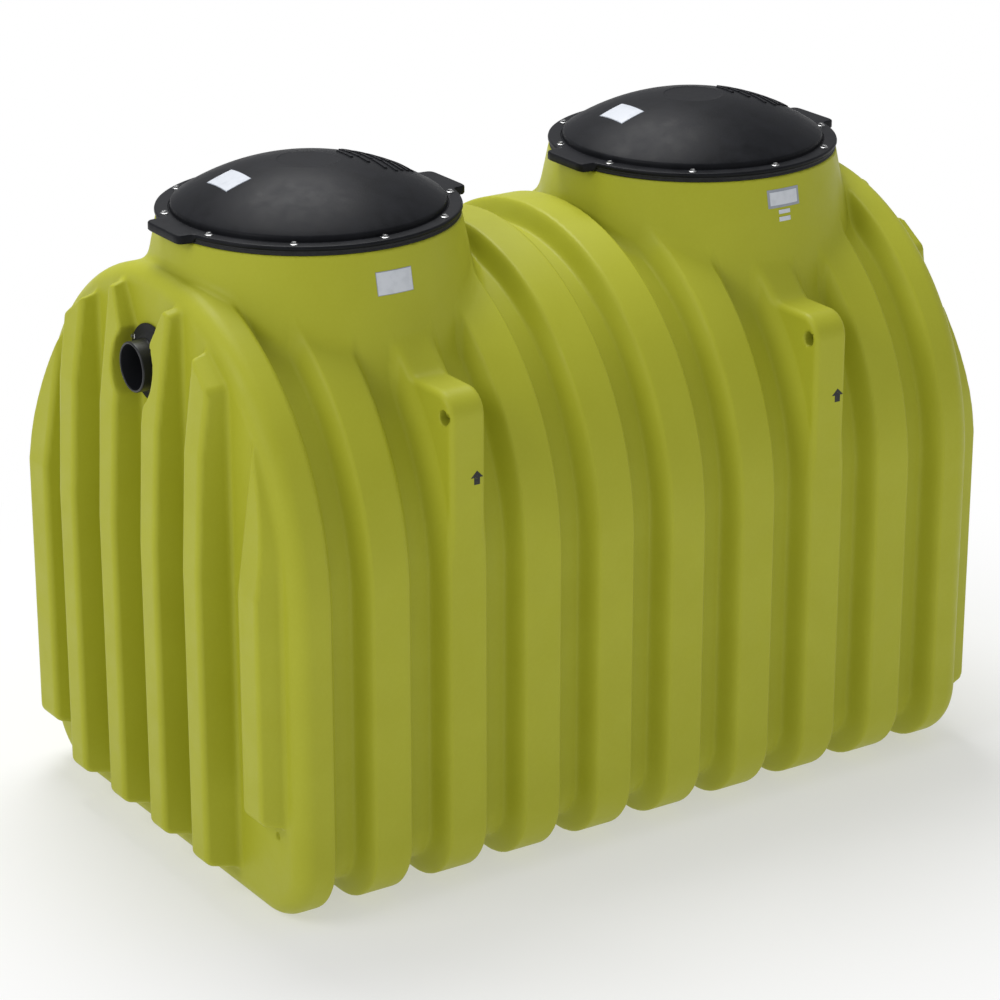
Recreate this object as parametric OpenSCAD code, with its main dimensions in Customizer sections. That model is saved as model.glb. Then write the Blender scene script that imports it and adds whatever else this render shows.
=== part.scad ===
// Low-profile septic tank: a one-piece ribbed polyethylene body with two
// bolted manhole lids, four lifting lugs and a pipe stub through each end.
// X runs along the tank, the outlet end is at -X; Z is up; the ribs stand on Z = 0.

/* [Body] */
// Number of ribs that run round the tank
rib_count = 10; // [8:1:12]
// Distance from one rib to the next
rib_pitch = 196.7; // [180:0.1:215]
// Width of the flat crest of a rib
rib_crest = 84; // [60:1:95]
// Length along the tank that each side of a rib takes to fall into the groove
rib_flank = 34; // [26:1:40]
// Depth of the grooves between the ribs
groove_depth = 50; // [30:1:60]
// Half the width of the tank over its ribs
half_width = 598; // [560:1:640]
// Height at which the straight sides turn into the vault
spring_z = 700; // [600:5:760]
// Rise of the vault above the straight sides
vault_rise = 650; // [610:5:680]
// Angle through which each haunch turns before the crown begins, in degrees
haunch_turn = 49.9; // [46:0.1:54]
// Radius of the bottom corners
corner_r = 160; // [130:5:200]
// Thickness of the moulded wall
wall = 12; // [8:0.5:16]
// Rounding where the ribbed wall turns into the end walls
end_round = 45; // [36:1:56]

/* [Manholes] */
// Distance of each manhole from the middle of the tank
manhole_x = 527.5; // [490:0.5:550]
// Width of the rim round the clear opening
rim_w = 45; // [36:1:56]
// Slope of the collar wall from upright, in degrees
collar_slope = 11.5; // [8:0.5:14]
// Height of the collar's top face
collar_z = 1440; // [1420:1:1480]
// Radius of the clear opening
opening_r = 296; // [270:1:305]
// Thickness of the rim that carries the lid
rim_t = 16; // [10:1:24]

/* [Lids] */
// How far the lid flange stands out past the collar
lid_lip = 2; // [1:0.5:8]
// Thickness of the lid flange
lid_flange_t = 10; // [6:0.5:14]
// Width of the flange round the dome
flange_w = 35; // [28:1:44]
// Height of the dome above the flange
dome_h = 110; // [80:1:130]
// Radius of the flat disc on top of the dome
dome_flat_r = 70; // [50:1:90]
// Thickness of the dome
dome_t = 8; // [5:0.5:12]
// Height of the gasket ring between collar and lid
gasket_t = 12; // [8:0.5:16]
// Width of each lid ear
ear_w = 150; // [110:1:180]
// How far each ear stands out past the flange
ear_out = 28; // [18:1:40]

/* [Lifting lugs] */
// Width of a lug at its outer face
lug_w = 90; // [80:1:96]
// Extra width of a lug at its root, on each side
lug_draft = 4; // [0:0.5:8]
// Height of the flat top of a lug
lug_top_z = 1177; // [1160:1:1190]
// Radius of a lug's outer top corner
lug_corner_r = 57; // [40:1:70]
// Depth of the lifting hole below the lug's top
lug_hole_drop = 54; // [48:1:72]
// Distance of the lifting hole from the lug's outer face
lug_hole_in = 30; // [26:1:40]
// Radius of the lifting hole
lug_hole_r = 16.5; // [10:0.5:19]
// Height at which a lug starts to stand out of the vault
lug_foot_z = 800; // [790:5:850]

/* [End ribs] */
// Distance from one end rib to the next
end_rib_pitch = 195.7; // [180:0.1:205]
// Width of an end rib's front
end_rib_w = 72; // [60:1:80]
// Extra width of an end rib at the wall, on each side
end_rib_draft = 10; // [4:1:14]
// How far the four middle end ribs stand out of the end wall
end_rib_d = 84; // [60:1:90]
// How far the two outer end ribs stand out of the end wall
outer_rib_d = 58; // [40:1:70]
// Height of the feet of the four middle end ribs
end_rib_foot = 88; // [70:1:120]
// Height of the feet of the two outer end ribs
outer_rib_foot = 262; // [220:1:300]
// Tops of the end ribs, from the middle outwards
end_rib_tops = [1333, 1290, 1110]; // [900:1:1340]
// How far the tips of the end ribs run over the end rounding, from the middle outwards
end_rib_tips = [40, 5, 20]; // [0:1:45]
// Height over which the top of an end rib bows back to the wall
end_rib_bow = 300; // [200:10:400]

/* [Pipes] */
// Outer radius of the pipe stubs, nominal four inch
pipe_r = 57.15; // [50:0.05:60]
// How much thicker the pipe stubs are inside their seals
pipe_step = 1.5; // [0.5:0.5:3]
// Wall thickness of the pipe stubs
pipe_t = 6; // [4:0.5:8]
// Height of the outlet pipe's centre
outlet_z = 1160; // [1120:1:1180]
// How much higher the inlet pipe sits than the outlet pipe
inlet_rise = 50; // [0:1:50]
// How far the pipes stand out of the end walls
pipe_out = 54; // [40:1:90]
// How far the pipes reach inside the end walls
pipe_in = 70; // [40:1:120]
// Radius of the seal's flange
seal_r = 90; // [80:1:94]
// Thickness of the seal's flange
seal_t = 8; // [5:0.5:12]

/* [Hidden] */
$fn = 96;
flank_steps = 5;              // flat faces on each flank of a rib
end_steps = 4;                // flat faces on each end rounding
arc_steps = 20;               // flat faces on each arc of an end wall's outline
rib_x0 = -(rib_count - 1) / 2 * rib_pitch;
end_x = -rib_x0 + end_round;  // outer face of the end walls
// Centre of a haunch, past the middle, where haunch and crown meet without a kink
haunch_y = (vault_rise - half_width) / (1 + tan(haunch_turn) - 1 / cos(haunch_turn));
haunch_r = half_width + haunch_y;
crown_r = vault_rise - haunch_y * tan(haunch_turn);
crown_z = spring_z + vault_rise - crown_r;
collar_r = opening_r + rim_w;
lid_r = collar_r + lid_lip;
dome_r = lid_r - flange_w;
ear_reach = lid_r + ear_out;
lug_hole_z = lug_top_z - lug_hole_drop;
inset = groove_depth + wall;  // from a rib's crest to the inside of a groove
flank_a = atan(PI / 2 * groove_depth / rib_flank);
collar_low = spring_z + 310;         // below where a collar leaves the grooves
lid_z = collar_z + gasket_t;
gasket_r = lid_r - 3;
seat_gap = 0.3;               // clearance of the pipes in the end walls
barrel_r = pipe_r + pipe_step;
port_r = seal_r + 4;          // flat ring round each pipe
hub_l = 2 * seal_t;           // length of a seal's hub
lug_rib = 2;                  // rib that carries a lug, counted from 0 at each end
end_rib_round = 16;           // rounding of an end rib's front edges
lug_round = 14;               // rounding of a lug's outer edges
BODY = "#A9AE3A";
BLACK = "#27272B";

// ---- ribbed section ------------------------------------------------------

function rib_x(i) = rib_x0 + i * rib_pitch;
function ease(t) = (1 - cos(180 * t)) / 2;
function reverse(v) = [for (i = [len(v) - 1:-1:0]) v[i]];

// One flank of a rib as [x, depth], going out from the crest on side s
function flank(c, s, t) =
    let (h = rib_crest / 2 - t * tan(flank_a / 2))
    [for (k = [0:flank_steps]) [c + s * (h + rib_flank * k / flank_steps),
                                t + groove_depth * ease(k / flank_steps)]];

// Rounding into the end wall on side s, going in from the end
function end_arc(s, t) =
    [for (k = [0:end_steps]) let (a = 90 * k / end_steps)
        [s * (end_x - end_round + (end_round - t) * cos(a)),
         end_round - (end_round - t) * sin(a)]];

// The whole line from end to end, t below the outer face
function section_line(t) = concat(
    end_arc(-1, t),
    [for (i = [0:rib_count - 1]) each concat(
        i > 0 ? reverse(flank(rib_x(i), -1, t)) : [],
        i < rib_count - 1 ? flank(rib_x(i), 1, t) : [])],
    reverse(end_arc(1, t)));

section = concat(section_line(0), reverse(section_line(wall)));

// Sweep of [radius, x] points round an axis along X
module swing(points, y, z, a0, a1)
    translate([0, y, z]) rotate([90, 0, 90]) rotate([0, 0, a0])
        rotate_extrude(angle = a1 - a0, $fn = 180) polygon(points);

module ribbed_arc(r, y, z, a0, a1)
    swing([for (p = section) [r - p[1], p[0]]], y, z, a0, a1);

module on_far_side() mirror([0, 1, 0]) children();

module body_color() color(BODY) children();
module black() color(BLACK) children();

// Points of an arc of radius r round [y, z], from a0 to a1, without the first
function arc(r, y, z, a0, a1) =
    [for (k = [1:arc_steps]) let (a = a0 + (a1 - a0) * k / arc_steps)
        [y + r * cos(a), z + r * sin(a)]];

// Right half of the tank's cross-section, set in by d, from the floor to the top
function half_vault(d) = concat(
    [[half_width - corner_r, d]],
    arc(corner_r - d, half_width - corner_r, corner_r, -90, 0),
    [[half_width - d, spring_z]],
    arc(haunch_r - d, -haunch_y, spring_z, 0, haunch_turn),
    arc(crown_r - d, 0, crown_z, haunch_turn, 90));

// Cross-section of the tank across its length, set in by d
module vault(d) {
    right = half_vault(d);
    left = [for (i = [len(right) - 2:-1:0]) [-right[i][0], right[i][1]]];
    polygon(concat(right, left));
}

module prism(d, x0, x1)
    translate([x0, 0, 0]) rotate([90, 0, 90]) linear_extrude(x1 - x0) vault(d);

// ---- tank body -----------------------------------------------------------

module floor_pan() body_color()
    translate([0, half_width - corner_r, 0]) rotate([90, 0, 0])
        linear_extrude(2 * (half_width - corner_r)) polygon(section);

module corner_near() body_color()
    ribbed_arc(corner_r, corner_r - half_width, corner_r, 180, 270);

module corner_far() on_far_side() corner_near();

module side_wall_near() body_color()
    translate([0, -half_width, corner_r]) linear_extrude(spring_z - corner_r) polygon(section);

module side_wall_far() on_far_side() side_wall_near();

module haunch_near() body_color()
    difference() {
        ribbed_arc(haunch_r, haunch_y, spring_z, 180 - haunch_turn, 180);
        for (s = [-1, 1]) collar_cone(s);
    }

module haunch_far() on_far_side() haunch_near();

function collar_at(z) = collar_r + (collar_z - z) * tan(collar_slope);

module collar_cone(s)
    translate([s * manhole_x, 0, collar_low])
        cylinder(h = collar_z - collar_low, r1 = collar_at(collar_low), r2 = collar_r);

// The stretch of the crown from x0 to x1, turned from a0 to a1; the manholes part it from the others
module crown(x0, x1, a0, a1) body_color() difference() {
    intersection() {
        ribbed_arc(crown_r, 0, crown_z, a0, a1);
        translate([x0, -half_width, spring_z]) cube([x1 - x0, 2 * half_width, 2 * vault_rise]);
    }
    for (s = [-1, 1]) collar_cone(s);
}

module crown_outlet() crown(-2 * end_x, -manhole_x, haunch_turn, 180 - haunch_turn);
module crown_middle_near() crown(-manhole_x, manhole_x, 90, 180 - haunch_turn);
module crown_middle_far() crown(-manhole_x, manhole_x, haunch_turn, 90);
module crown_inlet() crown(manhole_x, 2 * end_x, haunch_turn, 180 - haunch_turn);

module collar(s) body_color() difference() {
    translate([s * manhole_x, 0, 0]) rotate_extrude() polygon([
        [collar_at(collar_low), collar_low], [collar_r, collar_z],
        [opening_r, collar_z], [opening_r, collar_z - rim_t],
        [collar_at(collar_z - rim_t) - wall, collar_z - rim_t],
        [collar_at(collar_low) - wall, collar_low]]);
    prism(inset, -2 * end_x, 2 * end_x);
}

module collar_outlet() collar(-1);
module collar_inlet() collar(1);

// ---- end walls -----------------------------------------------------------

function pipe_z(s) = s < 0 ? outlet_z : outlet_z + inlet_rise;

// Disc of radius r through the end wall on side s, in line with its pipe
module port_disc(s, r, length)
    translate([s * (end_x - wall / 2), 0, pipe_z(s)]) rotate([0, 90, 0])
        cylinder(h = length, r = r, center = true);

module end_wall(s) body_color() difference() {
    prism(end_round, s < 0 ? -end_x : end_x - wall, s < 0 ? -end_x + wall : end_x);
    port_disc(s, port_r, 4 * wall);
}

// Flat ring of the end wall that the seal and the pipe sit in
module port_ring(s) body_color() difference() {
    port_disc(s, port_r, wall);
    port_disc(s, barrel_r + seat_gap, 4 * wall);
}

module outlet_port_ring() port_ring(-1);
module inlet_port_ring() port_ring(1);

module outlet_end_wall() end_wall(-1);
module inlet_end_wall() end_wall(1);

// Side view of an end rib as [distance from the wall, height]; its tip lies over the rounding
function rib_bow(d, foot, top, tip) = concat(
    [[-tip, top], [-tip, top - 5 * inset], [0, top - 5 * inset], [0, foot - d / 4],
     [d / 2, foot - d / 8], [d, foot + d / 4]],
    [for (k = [0:8]) let (a = 90 * k / 8)
        [d * pow(cos(a), 0.85), top - end_rib_bow * (1 - pow(sin(a), 0.85))]]);

// Plan of an end rib as [distance from the wall, width]
function rib_plan(d) = let (w = end_rib_w / 2, r = end_rib_round, e = end_rib_draft)
    [[-end_round, -w - e], [0, -w - e], [d - r, -w - e * r / d],
     [d - r * 0.29, -w + r * 0.29], [d, -w + r], [d, w - r],
     [d - r * 0.29, w - r * 0.29], [d - r, w + e * r / d],
     [0, w + e], [-end_round, w + e]];

// Facets that cut the top of end rib n back, each as [normal, point] in
// [distance from the wall, distance from the middle, height]
rib_facets = [
    [[[0.42, 0.30, 1], [0, 140, 1331]], [[0, -106, 55], [0, 60, 1225]]],
    [[[0.167, 0.58, 0.798], [0, 247.5, 1271]]],
    [[[0.35, 0.80, 0.60], [0, 458, 1048]]]];

// Everything past a facet, on side y
module beyond_facet(facet, y) {
    n = facet[0];
    size = 2 * vault_rise;
    translate([-end_x - facet[1][0], y * facet[1][1], facet[1][2]])
        rotate([0, acos(n[2] / norm(n)), atan2(y * n[1], -n[0])])
            translate([-size / 2, -size / 2, 0]) cube(size);
}

// The vault's filled end with its rounding, which a rib's tip lies on
module end_core(n) {
    line = concat(end_arc(-1, 0), [[rib_x0, 0], [rib_x0, 6 * inset], [-end_x, 6 * inset]]);
    if (n < 2) swing([for (p = line) [crown_r - p[1], p[0]]], 0, crown_z, haunch_turn - 10, 190 - haunch_turn);
    if (n == 2) swing([for (p = line) [haunch_r - p[1], p[0]]], -haunch_y, spring_z, -30, haunch_turn);
}

// End rib n, counted from the middle on side y of the end wall on side s
module end_rib(s, y, n) {
    d = n == 2 ? outer_rib_d : end_rib_d;
    foot = n == 2 ? outer_rib_foot : end_rib_foot;
    top = end_rib_tops[n];
    rib_y = (n + 0.5) * end_rib_pitch;
    reach = end_rib_w / 2 + end_rib_draft;
    body_color() mirror([s > 0 ? 1 : 0, 0, 0]) mirror([0, y > 0 ? 0 : 1, 0]) difference() {
        intersection() {
            translate([-end_x, rib_y + reach, 0]) rotate([90, 0, 0])
                linear_extrude(2 * reach)
                    polygon([for (p = rib_bow(d, foot, top, end_rib_tips[n])) [-p[0], p[1]]]);
            translate([-end_x, rib_y, 0])
                linear_extrude(top) polygon([for (p = rib_plan(d)) [-p[0], p[1]]]);
        }
        for (facet = rib_facets[n]) beyond_facet(facet, 1);
        end_core(n);
        if (n == 0) translate([-end_x, 0, pipe_z(s)]) rotate([0, -90, 0])
            cylinder(h = d + 1, r = port_r);
    }
}

module outlet_end_rib_1() end_rib(-1, -1, 2);
module outlet_end_rib_2() end_rib(-1, -1, 1);
module outlet_end_rib_3() end_rib(-1, -1, 0);
module outlet_end_rib_4() end_rib(-1, 1, 0);
module outlet_end_rib_5() end_rib(-1, 1, 1);
module outlet_end_rib_6() end_rib(-1, 1, 2);
module inlet_end_rib_1() end_rib(1, -1, 2);
module inlet_end_rib_2() end_rib(1, -1, 1);
module inlet_end_rib_3() end_rib(1, -1, 0);
module inlet_end_rib_4() end_rib(1, 1, 0);
module inlet_end_rib_5() end_rib(1, 1, 1);
module inlet_end_rib_6() end_rib(1, 1, 2);

// ---- lifting lugs --------------------------------------------------------

// A rib's own outer form, which a lug is cut to sit on
module rib_core(c) {
    side = flank(c, 1, 0);
    line = concat(reverse(flank(c, -1, 0)), side,
                  [[c + rib_crest, 2 * inset], [c - rib_crest, 2 * inset]]);
    swing([for (p = line) [haunch_r - p[1], p[0]]], haunch_y, spring_z, 180 - haunch_turn, 180);
    swing([for (p = line) [crown_r - p[1], p[0]]], 0, crown_z, 90, 180 - haunch_turn);
}

// Distance of the vault's crest from the middle at height z
function vault_y(z) = z < spring_z + haunch_r * sin(haunch_turn)
    ? sqrt(pow(haunch_r, 2) - pow(z - spring_z, 2)) - haunch_y
    : sqrt(pow(crown_r, 2) - pow(z - crown_z, 2));

module lug(s, far) {
    c = s * -rib_x(lug_rib);
    ramp = 66;                                  // rise from the lug's top onto the collar
    shoulder = vault_y(lug_top_z) + 42;
    body_color() mirror([0, far, 0]) difference() {
        intersection() {
            translate([c - lug_w, 0, 0]) rotate([90, 0, 90]) linear_extrude(2 * lug_w)
                polygon(concat(
                    [[-half_width, lug_foot_z]],
                    [for (k = [0:6]) let (a = 180 - 90 * k / 6)
                        [-half_width + lug_corner_r * (1 + cos(a)),
                         lug_top_z - lug_corner_r * (1 - sin(a))]],
                    [[-shoulder, lug_top_z], [ramp - shoulder, lug_top_z + ramp],
                     [ramp + 30 - shoulder, lug_top_z + ramp + 12],
                     [ramp + 30 - shoulder, lug_top_z - ramp],
                     [60 - vault_y(lug_foot_z), lug_foot_z]]));
            linear_extrude(collar_z) polygon(lug_plan(c));
        }
        rib_core(c);
        collar_cone(s);
        translate([c, lug_hole_in - half_width, lug_hole_z]) rotate([0, 90, 0])
            cylinder(h = 2 * lug_w, r = lug_hole_r, center = true);
    }
}

// Plan of a lug: rounded outer edges and a slight draft towards the root
function lug_plan(c) = let (w = lug_w / 2, r = lug_round, y = -half_width)
    [for (p = [[-w + r, y], [w - r, y], [w - r * 0.29, y + r * 0.29], [w, y + r],
               [w + lug_draft, 0], [-w - lug_draft, 0], [-w, y + r],
               [-w + r * 0.29, y + r * 0.29]]) [c + p[0], p[1]]];

module lug_near_outlet() lug(-1, 0);
module lug_near_inlet() lug(1, 0);
module lug_far_outlet() lug(-1, 1);
module lug_far_inlet() lug(1, 1);

// ---- pipes and seals -----------------------------------------------------

// Places a piece that is drawn along Z, with Z = 0 on the end wall and Z out of the tank
module at_port(s) translate([s * end_x, 0, pipe_z(s)]) rotate([0, s * 90, 0]) children();

module pipe(s) black() at_port(s) difference() {
    union() {
        translate([0, 0, hub_l]) cylinder(h = pipe_out - hub_l, r = pipe_r);
        translate([0, 0, -pipe_in]) cylinder(h = pipe_in + hub_l, r = barrel_r);
    }
    translate([0, 0, -pipe_in - 1]) cylinder(h = pipe_in + pipe_out + 2, r = pipe_r - pipe_t);
}

module seal(s) black() at_port(s) difference() {
    union() {
        cylinder(h = seal_t, r = seal_r);
        cylinder(h = hub_l, r1 = barrel_r + seal_t, r2 = barrel_r + seal_t / 2);
    }
    translate([0, 0, -1]) cylinder(h = hub_l + 2, r = barrel_r);
}

module outlet_pipe() pipe(-1);
module inlet_pipe() pipe(1);
module outlet_seal() seal(-1);
module inlet_seal() seal(1);

// ---- gaskets and lids ----------------------------------------------------

module gasket(s) black() translate([s * manhole_x, 0, collar_z]) difference() {
    cylinder(h = gasket_t, r = gasket_r);
    translate([0, 0, -1]) cylinder(h = gasket_t + 2, r = opening_r);
}

module outlet_gasket() gasket(-1);
module inlet_gasket() gasket(1);

// Sphere radius of a cap of radius r and height h
function cap_r(r, h) = (r * r + h * h) / (2 * h);

// Points of the dome's outer face, from its base to the flat disc
function dome_line(t) = let (R = cap_r(dome_r, dome_h), zc = lid_flange_t + dome_h - R)
    [for (k = [0:12]) let (r = dome_r + (dome_flat_r - dome_r) * k / 12)
        [k == 0 ? r - t : r, zc + sqrt(R * R - r * r) - t]];

module lid(s) black() translate([s * manhole_x, 0, lid_z]) difference() {
    union() {
        rotate_extrude() polygon(concat(
            [[lid_r, 0], [lid_r, lid_flange_t - 3], [lid_r - 3, lid_flange_t]],
            [for (p = dome_line(0)) p],
            [[0, dome_line(0)[12][1]], [0, dome_line(dome_t)[12][1]]],
            reverse(dome_line(dome_t)), [[dome_r - dome_t, 0]]));
        for (m = [0, 1]) mirror([m, 0, 0]) linear_extrude(lid_flange_t) difference() {
            translate([opening_r + dome_t, -ear_w / 2]) square([ear_reach - opening_r - dome_t, ear_w]);
            circle(lid_r - 3);
        }
    }
}

module outlet_lid() lid(-1);
module inlet_lid() lid(1);

// ---- drawing -------------------------------------------------------------

floor_pan();
corner_near();
corner_far();
side_wall_near();
side_wall_far();
haunch_near();
haunch_far();
crown_outlet();
crown_middle_near();
crown_middle_far();
crown_inlet();
outlet_end_wall();
inlet_end_wall();
outlet_port_ring();
inlet_port_ring();
outlet_end_rib_1();
outlet_end_rib_2();
outlet_end_rib_3();
outlet_end_rib_4();
outlet_end_rib_5();
outlet_end_rib_6();
inlet_end_rib_1();
inlet_end_rib_2();
inlet_end_rib_3();
inlet_end_rib_4();
inlet_end_rib_5();
inlet_end_rib_6();
collar_outlet();
collar_inlet();
lug_near_outlet();
lug_near_inlet();
lug_far_outlet();
lug_far_inlet();
outlet_pipe();
inlet_pipe();
outlet_seal();
inlet_seal();
outlet_gasket();
inlet_gasket();
outlet_lid();
inlet_lid();
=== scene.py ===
"""Looks for the low-profile septic tank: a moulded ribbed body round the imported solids, domed
lids, screws, seals, pipe stubs and plain plates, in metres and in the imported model's frame."""

import itertools
import math

import bmesh
import bpy
import numpy as np
from mathutils import Matrix, Vector


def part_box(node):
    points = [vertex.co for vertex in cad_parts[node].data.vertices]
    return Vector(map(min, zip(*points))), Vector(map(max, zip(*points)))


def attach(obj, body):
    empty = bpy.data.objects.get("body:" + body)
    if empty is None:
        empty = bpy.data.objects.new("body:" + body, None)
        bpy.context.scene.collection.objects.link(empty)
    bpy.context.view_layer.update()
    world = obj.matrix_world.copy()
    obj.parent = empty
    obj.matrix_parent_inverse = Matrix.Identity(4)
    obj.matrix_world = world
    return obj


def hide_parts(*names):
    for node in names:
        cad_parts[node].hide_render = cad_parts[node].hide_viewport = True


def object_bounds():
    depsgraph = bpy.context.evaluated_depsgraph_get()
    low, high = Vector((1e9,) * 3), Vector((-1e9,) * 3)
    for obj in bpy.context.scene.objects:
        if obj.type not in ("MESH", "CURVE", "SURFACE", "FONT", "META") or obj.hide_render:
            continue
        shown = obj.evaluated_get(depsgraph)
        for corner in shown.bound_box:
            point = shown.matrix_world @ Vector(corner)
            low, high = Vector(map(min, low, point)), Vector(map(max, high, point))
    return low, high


bl_info = {
    "name": "Septic tank looks",
    "version": (1, 0, 0),
    "blender": (4, 5, 0),
    "location": "3D View > Sidebar > Tank",
    "description": "Builds the moulded body, lids, fittings and studio of a ribbed septic tank",
    "category": "Object",
}

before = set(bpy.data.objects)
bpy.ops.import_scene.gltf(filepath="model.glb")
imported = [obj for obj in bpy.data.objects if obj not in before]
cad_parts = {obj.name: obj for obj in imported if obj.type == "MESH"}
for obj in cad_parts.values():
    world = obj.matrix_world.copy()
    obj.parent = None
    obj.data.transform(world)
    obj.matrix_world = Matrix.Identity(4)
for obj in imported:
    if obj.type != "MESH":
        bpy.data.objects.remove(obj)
CAD_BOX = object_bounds()
BODY = "root"
ENDS = {"outlet": -1, "inlet": 1}
SIDES = {"near": -1, "far": 1}


def low(node):
    """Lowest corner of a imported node's box."""
    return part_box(node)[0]


def high(node):
    """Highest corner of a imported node's box."""
    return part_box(node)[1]


def middle(node):
    """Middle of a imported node's box."""
    return (low(node) + high(node)) / 2


# ---- sizes ---------------------------------------------------------------


def length(name, description, default, least=0.0):
    """A property that holds a length in metres."""
    return bpy.props.FloatProperty(
        name=name, description=description, default=default, min=least, unit="LENGTH",
        subtype="DISTANCE", precision=4)


def hue(name, description, code):
    """A property that holds a colour, given as an sRGB hex value."""
    return bpy.props.FloatVectorProperty(
        name=name, description=description, default=linear(code)[:3], min=0, max=1,
        size=3, subtype="COLOR")


def linear(code):
    """Linear red, green, blue and alpha of an sRGB hex colour."""
    parts = [int(code[i:i + 2], 16) / 255 for i in (1, 3, 5)]
    return (*(c / 12.92 if c <= 0.04045 else ((c + 0.055) / 1.055) ** 2.4 for c in parts), 1.0)


class TankShellSizes(bpy.types.PropertyGroup):
    """Sizes of the moulded body."""
    mesh_step: length("Mesh step", "Size of the faces that the body is made of", 0.007, 0.004)
    rib_pitch: length("Rib pitch", "Distance from one rib to the next", 0.1967)
    rib_crest: length("Rib crest", "Width of the flat crest of a rib", 0.084)
    rib_flank: length("Rib flank", "Length that each side of a rib takes", 0.034)
    groove_depth: length("Groove depth", "Depth of the grooves between the ribs", 0.050)
    vault_up: length("Vault lift", "Rise of the vault above the packed solids", 0.019)
    spring_up: length("Spring lift", "Rise of the straight sides above theirs", 0.045)
    haunch_extra: length("Haunch extra", "Excess of the haunch radius over the vault's rise", 0.030)
    end_round: length("End rounding", "Rounding where the last rib turns into the end wall", 0.045)
    collar_r: length("Collar radius", "Outer radius of a collar at its top", 0.341)
    collar_slope: bpy.props.FloatProperty(
        name="Collar slope", description="Slope of the collar wall from upright",
        default=math.radians(11.5), subtype="ANGLE", unit="ROTATION")
    collar_fillet: length("Collar fillet", "Reach of the blend between collars and ribs", 0.020)
    lug_w: length("Lug width", "Width of a lifting lug at its outer face", 0.090)
    lug_top: length("Lug top", "Height of the flat top of a lug", 1.177)
    lug_corner: length("Lug corner", "Radius of a lug's outer top corner", 0.057)
    lug_round: length("Lug rounding", "Rounding of a lug's outer edges", 0.014)
    lug_foot: length("Lug foot", "Height at which a lug starts to leave its rib", 0.820)
    hole_r: length("Hole radius", "Radius of a lifting hole", 0.0165)
    hole_in: length("Hole inset", "Distance of a lifting hole from the lug's outer face", 0.030)
    hole_z: length("Hole height", "Height of the lifting holes", 1.123)
    rib_front: length("End rib front", "Width of an end rib's front", 0.072)
    rib_draft: length("End rib draft", "Extra width of an end rib at the wall, each side", 0.010)
    rib_round: length("End rib rounding", "Rounding of an end rib's front edges", 0.012)
    rib_root: length("End rib fillet", "Fillet between an end rib and the wall", 0.012)
    dimple_r: length("Dimple radius", "Radius of the small dimple low on the outlet end", 0.009)


class TankLidSizes(bpy.types.PropertyGroup):
    """Sizes of the lids."""
    flange_r: length("Flange radius", "Outer radius of the lid flange", 0.343)
    flange_t: length("Flange thickness", "Thickness of the lid flange", 0.010)
    dome_r: length("Dome radius", "Radius at which the dome rises from the flange", 0.308)
    dome_wall: length("Dome wall", "Height of the short upright wall round the dome", 0.011)
    disc_r: length("Disc radius", "Radius of the flat disc on top of the dome", 0.070)
    ear_w: length("Ear width", "Width of each lid ear", 0.150)
    ear_drop: length("Ear drop", "How far an ear reaches below the flange", 0.0105)
    screw_circle: length("Screw circle", "Radius of the circle of screws", 0.3247)
    screw_count: bpy.props.IntProperty(name="Screws", description="Screws in each lid", default=10)
    screw_r: length("Screw radius", "Radius of a screw's washer head", 0.0095)
    plate_w: length("Plate width", "Size of a lid's blank plate along the tank", 0.058)
    plate_h: length("Plate height", "Size of a lid's blank plate across the tank", 0.098)
    bar_rise: length("Bar rise", "How far the raised bars stand above the dome", 0.003)


class TankColours(bpy.types.PropertyGroup):
    """Colours of the finishes."""
    body: hue("Body", "Pigment of the moulded body", "#AEB02E")
    body_pale: hue("Body, pale", "Pigment where the body has been scuffed or thins out", "#B4B735")
    lid: hue("Lid", "Plastic of the lids", "#131417")
    lid_pale: hue("Lid, pale", "Paler swirl in the lids' plastic", "#1C1D21")
    pipe: hue("Pipe", "Plastic of the pipe stubs", "#1D1E20")
    rubber: hue("Rubber", "Gaskets and seals", "#17181A")
    steel: hue("Steel", "Screws", "#C4C4C2")
    plate: hue("Plate", "Blank plates", "#D5D9E0")
    border: hue("Border", "Borders of the plates", "#8E94A0")
    ink: hue("Ink", "Printed arrows", "#0E0F11")


# ---- materials -----------------------------------------------------------


def add_node(tree, kind, inputs=None, out=0, into=None, **settings):
    """Adds a node with its settings and inputs; returns one output, linked to into if given."""
    made = tree.nodes.new("ShaderNode" + kind)
    for name, value in settings.items():
        setattr(made, name, value)
    for socket, value in (inputs or {}).items():
        if isinstance(value, bpy.types.NodeSocket):
            tree.links.new(value, made.inputs[socket])
        else:
            made.inputs[socket].default_value = value
    result = made.outputs[out] if made.outputs else None
    if into:
        tree.links.new(result, into)
    return result


def finish_of(name, colour, **values):
    """A new material: returns it, its tree, its shader's inputs and the object coordinates."""
    made = bpy.data.materials.new(name)
    made.use_nodes = True
    tree = made.node_tree
    shader = tree.nodes["Principled BSDF"].inputs
    shader["Base Color"].default_value = opaque(colour)
    for socket, value in values.items():
        shader[socket.replace("_", " ")].default_value = value
    return made, tree, shader, add_node(tree, "TexCoord", out="Object")


def opaque(colour):
    """A colour of the panel with its alpha."""
    return (*colour, 1.0)


def dress(tree, shader, mask, first, second, gloss=None, relief=None, depth=0.0, strength=0.0):
    """Runs the colour from first to second by a mask, the roughness over gloss; adds relief."""
    add_node(tree, "Mix", {0: mask, 6: first, 7: second}, 2, shader["Base Color"],
             data_type="RGBA")
    if gloss:
        add_node(tree, "MapRange", {"Value": mask, "To Min": gloss[0], "To Max": gloss[1]},
                 into=shader["Roughness"])
    if relief:
        add_node(tree, "Bump", {"Height": relief, "Distance": depth, "Strength": strength},
                 into=shader["Normal"])


def per_metre(size_mm):
    """Noise scale whose features are about this many millimetres across."""
    return 1000.0 / size_mm


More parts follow.
